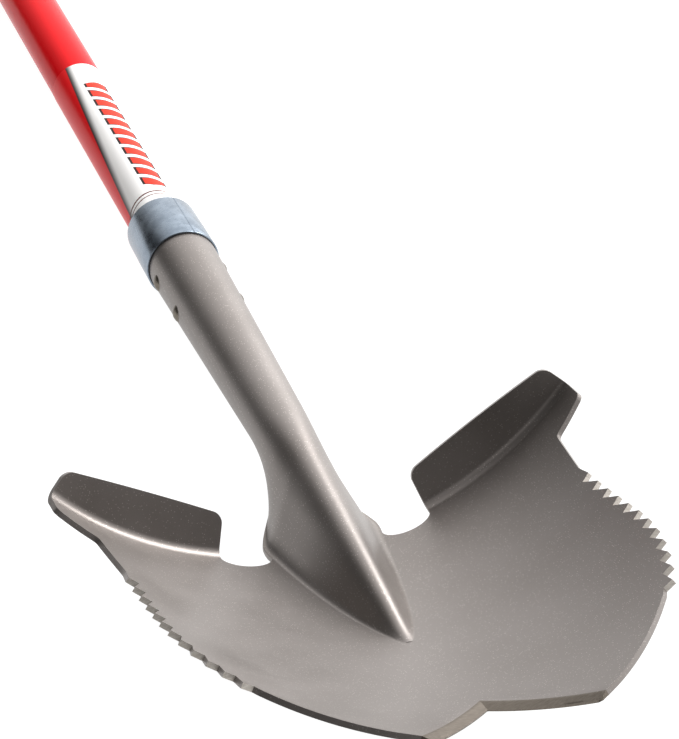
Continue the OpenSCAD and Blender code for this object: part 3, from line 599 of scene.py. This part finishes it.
# Zinc electroplate on cold-rolled strip: bright blue-white metal with a faint lengthwise rolling grain and
# hazy passivation clouds a few millimetres across.
zinc, tree, place = start_material("steel_zinc_electroplated")
along = add_node(tree, "ShaderNodeMapping", {"Vector": place, "Scale": (900.0, 40.0, 900.0)})
grain = add_node(tree, "ShaderNodeTexNoise", {"Vector": along.outputs["Vector"], "Scale": 1.0, "Detail": 3.0})
haze = add_node(tree, "ShaderNodeTexNoise", {"Vector": place, "Scale": 130.0, "Detail": 4.0,
                                             "Roughness": 0.65})
shade = add_node(tree, "ShaderNodeMix", {0: haze.outputs["Fac"], 6: hex_linear("#5c6875"),
                                         7: hex_linear("#a9b4c0")}, data_type="RGBA")
rough = add_node(tree, "ShaderNodeMapRange", {"Value": haze.outputs["Fac"], "From Min": 0.3, "From Max": 0.7,
                                              "To Min": 0.2, "To Max": 0.34})
bump = add_node(tree, "ShaderNodeBump", {"Strength": 0.15, "Distance": 0.0001,
                                         "Height": grain.outputs["Fac"]})
end_material(tree, add_node(tree, "ShaderNodeBsdfPrincipled", {
    "Base Color": shade.outputs[2], "Metallic": 1.0, "Roughness": rough.outputs["Result"],
    "Normal": bump.outputs["Normal"]}))
ferrule.data.materials.append(zinc)

# ---------------------------------------------------------------------------------------------
# Rivets: two solid steel rivets right through socket, shaft and plug, headed cold on both sides.
# ---------------------------------------------------------------------------------------------
RIVET_INSET, RIVET_HEAD_R, RIVET_HEAD_H, RIVET_R = 0.9, 5.25, 2.6, 3.0
RIVET_YS = (-14.0, -49.0)


def rivet_profile(seat):
    """Half of a rivet's outline from head to head: domed heads on a straight shank."""
    dome = (RIVET_HEAD_R**2 + RIVET_HEAD_H**2) / (2 * RIVET_HEAD_H)
    h = np.linspace(0, 1, 9)
    r = RIVET_HEAD_R * (1 - h)
    top = seat + np.sqrt(dome**2 - r**2) - (dome - RIVET_HEAD_H)
    right = np.stack([r + 0.001, top], -1)
    shank = [(RIVET_R, -seat), (RIVET_R, seat), (RIVET_HEAD_R, seat)]
    return np.concatenate([shank, right, right[::-1] * [1, -1], [(RIVET_HEAD_R, -seat)]])


rivet_steel, tree, place = start_material("steel_cold_headed_oiled")
cloud = add_node(tree, "ShaderNodeTexNoise", {"Vector": place, "Scale": 500.0, "Detail": 4.0})
shade = add_node(tree, "ShaderNodeMix", {0: cloud.outputs["Fac"], 6: hex_linear("#5d574f"),
                                         7: hex_linear("#8d867c")}, data_type="RGBA")
bump = add_node(tree, "ShaderNodeBump", {"Strength": 0.3, "Distance": 0.0002, "Height": cloud.outputs["Fac"]})
end_material(tree, add_node(tree, "ShaderNodeBsdfPrincipled", {
    "Base Color": shade.outputs[2], "Metallic": 1.0, "Roughness": 0.4, "Normal": bump.outputs["Normal"]}))
for name, y in zip(("rivet_upper", "rivet_lower"), RIVET_YS):
    points, faces = turned(rivet_profile(float(neck_radius(np.array(y))) - RIVET_INSET), 48, "x", (0, y, 0))
    piece = mesh_object(name + "_piece", row_frame(points), faces, "root", [name])
    piece.data.materials.append(rivet_steel)

# ---------------------------------------------------------------------------------------------
# Shaft: a steel core tube with red polyester resin drawn round it and polished, and a wooden plug driven
# into each end. The core and the plugs are hidden; they keep their CAD shapes.
# ---------------------------------------------------------------------------------------------
SHAFT_R, CORE_R, SHAFT_TOP = 16.5, 13.0, 580.0
profile = rounded([(CORE_R, -SHAFT_SEAT), (SHAFT_R, -SHAFT_SEAT), (SHAFT_R, SHAFT_TOP), (CORE_R, SHAFT_TOP)],
                  0.4)
points, faces = turned(profile, 160)
jacket = mesh_object("shaft_jacket_skin", row_frame(points), faces[:, ::-1], "root",
                     ["shaft_jacket"])

# Pigmented polyester resin, drawn through a polished die: deep even red, glossy, with very faint lengthwise
# draw lines and a slight orange peel.
resin, tree, place = start_material("polyester_resin_drawn_red")
along = add_node(tree, "ShaderNodeMapping", {"Vector": place, "Scale": (420.0, 9.0, 420.0)})
draw = add_node(tree, "ShaderNodeTexNoise", {"Vector": along.outputs["Vector"], "Scale": 1.0, "Detail": 2.0})
shade = add_node(tree, "ShaderNodeMix", {0: draw.outputs["Fac"], 6: hex_linear("#d2000a"),
                                         7: hex_linear("#e6000e")}, data_type="RGBA")
bump = add_node(tree, "ShaderNodeBump", {"Strength": 0.06, "Distance": 0.0002, "Height": draw.outputs["Fac"]})
end_material(tree, add_node(tree, "ShaderNodeBsdfPrincipled", {
    "Base Color": shade.outputs[2], "Roughness": 0.22, "IOR": 1.54, "Specular IOR Level": 0.06,
    "Normal": bump.outputs["Normal"]}))
jacket.data.materials.append(resin)

# Cold-drawn tube steel and softwood, for the hidden core and plugs.
core_steel, tree, place = start_material("steel_tube_cold_drawn")
along = add_node(tree, "ShaderNodeMapping", {"Vector": place, "Scale": (700.0, 20.0, 700.0)})
draw = add_node(tree, "ShaderNodeTexNoise", {"Vector": along.outputs["Vector"], "Scale": 1.0, "Detail": 3.0})
shade = add_node(tree, "ShaderNodeMix", {0: draw.outputs["Fac"], 6: hex_linear("#4c5054"),
                                         7: hex_linear("#7b7f84")}, data_type="RGBA")
end_material(tree, add_node(tree, "ShaderNodeBsdfPrincipled",
                            {"Base Color": shade.outputs[2], "Metallic": 1.0, "Roughness": 0.38}))
plug_wood, tree, place = start_material("pine_turned")
rings = add_node(tree, "ShaderNodeTexWave", {"Vector": place, "Scale": 90.0, "Distortion": 3.0,
                                             "Detail": 2.0},
                 wave_type="RINGS", rings_direction="Y")
shade = add_node(tree, "ShaderNodeMix", {0: rings.outputs["Fac"], 6: hex_linear("#b98a4e"),
                                         7: hex_linear("#d9b27a")}, data_type="RGBA")
end_material(tree, add_node(tree, "ShaderNodeBsdfPrincipled", {"Base Color": shade.outputs[2],
                                                               "Roughness": 0.7}))
for name, material, slot_name in (("shaft_core", core_steel, "core_steel"),
                                  ("lower_plug", plug_wood, "plug_wood"),
                                  ("upper_plug", plug_wood, "plug_wood")):
    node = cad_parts[name]
    node.data.materials.clear()
    node.data.materials.append(material)

# ---------------------------------------------------------------------------------------------
# Label: a printed self-adhesive film wrapped round the front of the shaft above the ferrule. Its print is
# plain shapes only: a white ground with a dark fade along its left edge, red lozenges, and two thin arcs.
# ---------------------------------------------------------------------------------------------
LABEL_Y, LABEL_LEN, LABEL_T = 46.0, 185.0, 0.2
LABEL_HALF = math.radians(118.0)
wrap = np.linspace(-LABEL_HALF, LABEL_HALF, 97)
lengths = np.linspace(LABEL_Y, LABEL_Y + LABEL_LEN, 13)
S, A = np.meshgrid(lengths, wrap, indexing="ij")
front = np.stack([(SHAFT_R + LABEL_T) * np.sin(A), S, (SHAFT_R + LABEL_T) * np.cos(A)], -1)
back = np.stack([(SHAFT_R + 0.01) * np.sin(A), S, (SHAFT_R + 0.01) * np.cos(A)], -1)
loop = np.concatenate([front, back[:, ::-1]], 1)
rings, n = loop.shape[:2]
k = np.arange(rings - 1)[:, None] * n
i, j = np.arange(n), (np.arange(n) + 1) % n
faces = np.stack([k + i, k + j, k + n + j, k + n + i], -1).reshape(-1, 4)
o = np.arange(96)
cap = np.stack([o, n - 1 - o, n - 2 - o, o + 1], -1)
faces = np.concatenate([faces[:, ::-1], cap[:, ::-1], cap + (rings - 1) * n])
label = mesh_object("label_film", row_frame(loop), faces, "root", ["label"], merge=False)
# The print's own coordinates: hundreds of millimetres round the shaft and above the film's lower end.
flat = np.stack([np.concatenate([A * SHAFT_R, A[:, ::-1] * SHAFT_R], 1).ravel(),
                 np.concatenate([S - LABEL_Y, S - LABEL_Y], 1).ravel()], -1)
corner_of = np.empty(len(label.data.loops), np.int32)
label.data.loops.foreach_get("vertex_index", corner_of)
uv = label.data.uv_layers.new(name="print_mm")
uv.data.foreach_set("uv", (flat[corner_of] * 0.01).astype(np.float32).ravel())

# Gloss polypropylene film, screen printed: clean white with saturated ink and a soft sheen.
film, tree, place = start_material("polypropylene_film_printed")
spot = add_node(tree, "ShaderNodeUVMap", uv_map="print_mm")
flat_xy = add_node(tree, "ShaderNodeSeparateXYZ", {"Vector": spot.outputs["UV"]})
round_mm = add_node(tree, "ShaderNodeMath", {0: flat_xy.outputs["X"], 1: 100.0}, operation="MULTIPLY")
up_mm = add_node(tree, "ShaderNodeMath", {0: flat_xy.outputs["Y"], 1: 100.0}, operation="MULTIPLY")


# The white ground ends on a slanting edge at the left, and the rest of the film is printed red.
slant = add_node(tree, "ShaderNodeMath", {0: up_mm.outputs[0], 1: -0.07, 2: 21.0}, operation="MULTIPLY_ADD")
from_edge = add_node(tree, "ShaderNodeMath", {0: round_mm.outputs[0], 1: slant.outputs[0]}, operation="ADD")
white_left = add_node(tree, "ShaderNodeMapRange", {"Value": from_edge.outputs[0], "From Min": -0.3,
                                                   "From Max": 0.3})
fade = add_node(tree, "ShaderNodeMapRange", {"Value": from_edge.outputs[0], "From Min": 0.0, "From Max": 5.0,
                                             "To Min": 1.0, "To Max": 0.0}, interpolation_type="SMOOTHSTEP")
field = add_node(tree, "ShaderNodeMix", {0: fade.outputs["Result"], 6: hex_linear("#f6f4f2"),
                                         7: hex_linear("#2c2827")}, data_type="RGBA")
ink = add_node(tree, "ShaderNodeMix", {0: white_left.outputs["Result"], 6: hex_linear("#e8040f"),
                                       7: field.outputs[2]},
               data_type="RGBA")
# Lozenges 13 mm apart lean across the white ground, each red with a dark outline.
lean = add_node(tree, "ShaderNodeMath", {0: round_mm.outputs[0], 1: 0.5, 2: up_mm.outputs[0]},
                operation="MULTIPLY_ADD")
fold = add_node(tree, "ShaderNodeMath", {0: lean.outputs[0], 1: 6.5}, operation="PINGPONG")
share_up = add_node(tree, "ShaderNodeMath", {0: fold.outputs[0], 1: 4.6}, operation="DIVIDE")
middle = add_node(tree, "ShaderNodeMath", {0: round_mm.outputs[0], 1: -4.0}, operation="ADD")
side = add_node(tree, "ShaderNodeMath", {0: middle.outputs[0]}, operation="ABSOLUTE")
share_side = add_node(tree, "ShaderNodeMath", {0: side.outputs[0], 1: 7.0}, operation="DIVIDE")
size = add_node(tree, "ShaderNodeMath", {0: share_up.outputs[0], 1: share_side.outputs[0]},
                operation="MAXIMUM")
above = add_node(tree, "ShaderNodeMath", {0: up_mm.outputs[0], 1: 20.0}, operation="GREATER_THAN")
below = add_node(tree, "ShaderNodeMath", {0: up_mm.outputs[0], 1: 158.0}, operation="LESS_THAN")
inside = add_node(tree, "ShaderNodeMath", {0: above.outputs[0], 1: below.outputs[0]}, operation="MULTIPLY")
for limit, colour in ((1.0, "#241613"), (0.80, "#e5321c")):
    within = add_node(tree, "ShaderNodeMath", {0: size.outputs[0], 1: limit}, operation="LESS_THAN")
    mask = add_node(tree, "ShaderNodeMath", {0: within.outputs[0], 1: inside.outputs[0]},
                    operation="MULTIPLY")
    ink = add_node(tree, "ShaderNodeMix", {0: mask.outputs[0], 6: ink.outputs[2], 7: hex_linear(colour)},
                   data_type="RGBA")
# Two thin dark red arcs cross the film above the ferrule.
square = add_node(tree, "ShaderNodeMath", {0: round_mm.outputs[0], 1: round_mm.outputs[0]},
                  operation="MULTIPLY")
arc = add_node(tree, "ShaderNodeMath", {0: square.outputs[0], 1: 0.012, 2: up_mm.outputs[0]},
               operation="MULTIPLY_ADD")
for level, width in ((13.0, 0.6), (9.5, 0.4)):
    on = add_node(tree, "ShaderNodeMath", {0: arc.outputs[0], 1: level, 2: width}, operation="COMPARE")
    ink = add_node(tree, "ShaderNodeMix", {0: on.outputs[0], 6: ink.outputs[2], 7: hex_linear("#5a1410")},
                   data_type="RGBA")
end_material(tree, add_node(tree, "ShaderNodeBsdfPrincipled", {
    "Base Color": ink.outputs[2], "Roughness": 0.28, "IOR": 1.49, "Specular IOR Level": 0.1}))
label.data.materials.append(film)

# ---------------------------------------------------------------------------------------------
# Grip: a moulded nylon D with a socket over the shaft's end, two rivets through it, and a steel crossbar
# tube in a grooved rubber sleeve, held between the D's bosses by one bolt under snap-in caps.
# ---------------------------------------------------------------------------------------------
nylon, tree, place = start_material("nylon_moulded_black")
grain = add_node(tree, "ShaderNodeTexVoronoi", {"Vector": place, "Scale": 700.0})
cloud = add_node(tree, "ShaderNodeTexNoise", {"Vector": place, "Scale": 30.0, "Detail": 3.0})
shade = add_node(tree, "ShaderNodeMix", {0: cloud.outputs["Fac"], 6: hex_linear("#1f2124"),
                                         7: hex_linear("#2d2f33")}, data_type="RGBA")
bump = add_node(tree, "ShaderNodeBump", {"Strength": 0.35, "Distance": 0.0002,
                                         "Height": grain.outputs["Distance"]})
end_material(tree, add_node(tree, "ShaderNodeBsdfPrincipled", {
    "Base Color": shade.outputs[2], "Roughness": 0.48, "IOR": 1.53, "Normal": bump.outputs["Normal"]}))
rubber, tree, place = start_material("rubber_moulded_ribbed")
grain = add_node(tree, "ShaderNodeTexNoise", {"Vector": place, "Scale": 1600.0, "Detail": 2.0})
cloud = add_node(tree, "ShaderNodeTexNoise", {"Vector": place, "Scale": 60.0, "Detail": 3.0})
shade = add_node(tree, "ShaderNodeMix", {0: cloud.outputs["Fac"], 6: hex_linear("#151617"),
                                         7: hex_linear("#242527")}, data_type="RGBA")
bump = add_node(tree, "ShaderNodeBump", {"Strength": 0.3, "Distance": 0.0002, "Height": grain.outputs["Fac"]})
end_material(tree, add_node(tree, "ShaderNodeBsdfPrincipled", {
    "Base Color": shade.outputs[2], "Roughness": 0.72, "IOR": 1.52, "Normal": bump.outputs["Normal"]}))
bare, tree, place = start_material("steel_bright_zinc")
grain = add_node(tree, "ShaderNodeTexNoise", {"Vector": place, "Scale": 300.0, "Detail": 3.0})
shade = add_node(tree, "ShaderNodeMix", {0: grain.outputs["Fac"], 6: hex_linear("#a9adb2"),
                                         7: hex_linear("#d4d8dc")}, data_type="RGBA")
end_material(tree, add_node(tree, "ShaderNodeBsdfPrincipled",
                            {"Base Color": shade.outputs[2], "Metallic": 1.0, "Roughness": 0.3}))
BAR_AT, SLEEVE_HALF, SLEEVE_R, SLEEVE_BORE = (0.0, 670.5, 0.0), 39.0, 19.0, 9.0
GROOVES, GROOVE_PITCH, GROOVE_DEPTH, GROOVE_HALF = 7, 64.0 / 7, 1.2, 2.0
groove_at = (np.arange(GROOVES) - (GROOVES - 1) / 2) * GROOVE_PITCH


def grooves(angle, r, s):
    """Round-bottomed grooves cut round the sleeve's outside, each a cosine bell of the groove's depth."""
    off = np.min(np.abs(s[..., None] - groove_at), -1) / GROOVE_HALF
    return np.where(r > SLEEVE_R - 1.5, -GROOVE_DEPTH * (0.5 + 0.5 * np.cos(np.pi * np.minimum(off, 1))), 0.0)


side = np.linspace(-SLEEVE_HALF + 1.6, SLEEVE_HALF - 1.6, 260)
turn = np.linspace(0, math.pi / 2, 7)
right_end = np.stack([SLEEVE_R - 1.5 + 1.5 * np.cos(turn), SLEEVE_HALF - 1.5 + 1.5 * np.sin(turn)], -1)
profile = np.concatenate([np.stack([0 * side + SLEEVE_R, side], -1), right_end, [[SLEEVE_BORE, SLEEVE_HALF]],
                          [[SLEEVE_BORE, -SLEEVE_HALF]], right_end[::-1] * [1, -1]])
points, faces = turned(profile, 128, "x", BAR_AT, grooves)
sleeve = mesh_object("grip_sleeve_skin", row_frame(points), faces, "root", ["grip_sleeve"])
sleeve.data.materials.append(rubber)
for name, material, slot_name in (
        ("grip_yoke", nylon, "grip_nylon"), ("cap_left", nylon, "grip_nylon"),
        ("cap_right", nylon, "grip_nylon"),
        ("yoke_rivets", bare, "bare_steel"),
        ("crossbar_tube", bare, "bare_steel"), ("crossbar_bolt", bare, "bare_steel"),
        ("crossbar_nut", bare, "bare_steel"), ("washer_left", bare, "bare_steel"),
        ("washer_right", bare, "bare_steel")):
    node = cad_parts[name]
    node.data.materials.clear()
    node.data.materials.append(material)

# ---------------------------------------------------------------------------------------------
# Studio: a plain white floor, a surround that is bright to the right and behind and dark in front, a large
# soft light from the right and a weak one in front.
# ---------------------------------------------------------------------------------------------
half = 6.0
ground_mesh = bpy.data.meshes.new("studio_floor")
ground_mesh.from_pydata([(-half, -half, 0), (half, -half, 0), (half, half, 0), (-half, half, 0)], [],
                        [(0, 1, 2, 3)])
floor = bpy.data.objects.new("studio_floor", ground_mesh)
bpy.context.scene.collection.objects.link(floor)
paper, tree, place = start_material("paper_white_matt")
end_material(tree, add_node(tree, "ShaderNodeBsdfPrincipled", {
    "Base Color": hex_linear("#707070"), "Roughness": 0.9, "Specular IOR Level": 0.1,
    "Emission Color": hex_linear("#ffffff"), "Emission Strength": 0.98}))
ground_mesh.materials.append(paper)

world = bpy.data.worlds.new("studio_surround")
bpy.context.scene.world = world
world.use_nodes = True
tree = world.node_tree
tree.nodes.clear()
way = add_node(tree, "ShaderNodeTexCoord").outputs["Generated"]
BRIGHT_SIDE = (0.72, 0.45, 0.53)
turn = add_node(tree, "ShaderNodeVectorMath", {0: way, 1: BRIGHT_SIDE}, operation="DOT_PRODUCT")
level = add_node(tree, "ShaderNodeMapRange", {"Value": turn.outputs["Value"], "From Min": 0.15,
                                              "From Max": 0.75, "To Min": 0.05, "To Max": 1.6})
sky = add_node(tree, "ShaderNodeBackground", {"Color": (1, 1, 1, 1), "Strength": level.outputs["Result"]})
tree.links.new(sky.outputs[0], add_node(tree, "ShaderNodeOutputWorld").inputs["Surface"])


def soft_light(name, place, aim, size, watts):
    """A square area light at a place, turned to face a point."""
    lamp = bpy.data.lights.new(name, "AREA")
    lamp.shape, lamp.size, lamp.energy = "SQUARE", size, watts
    made = bpy.data.objects.new(name, lamp)
    bpy.context.scene.collection.objects.link(made)
    z = np.array(place, float) - np.array(aim, float)
    z /= np.linalg.norm(z)
    x = np.cross([0, 0, 1], z)
    x /= np.linalg.norm(x)
    y = np.cross(z, x)
    made.matrix_world = Matrix([[x[0], y[0], z[0], place[0]], [x[1], y[1], z[1], place[1]],
                                [x[2], y[2], z[2], place[2]], [0, 0, 0, 1]])
    return made


soft_light("soft_right", (1.5, 0.35, 1.3), (0, -0.35, 0.05), 1.3, 60)
soft_light("soft_front", (-0.7, -1.9, 1.9), (0, -0.4, 0.05), 1.2, 3)

# Camera: a long lens 1.4 m from the blade, beyond its points and to the left, tipped down 34 degrees.
CAMERA_AT = np.array([-358.59, -1446.82, 891.70]) * 0.001
right = np.array([0.943927, -0.329472, -0.021208])
down = np.array([-0.200749, -0.521770, -0.829130])
forward = np.array([0.262109, 0.786895, -0.558654])
lens = bpy.data.cameras.new("camera")
lens.lens, lens.sensor_width, lens.clip_start, lens.clip_end = 140.51, 36.0, 0.05, 50.0
camera = bpy.data.objects.new("camera", lens)
bpy.context.scene.collection.objects.link(camera)
camera.matrix_world = Matrix([[right[k], -down[k], -forward[k], CAMERA_AT[k]] for k in range(3)]
                             + [[0, 0, 0, 1]])
bpy.context.scene.camera = camera
bpy.context.scene.view_settings.view_transform = "Standard"
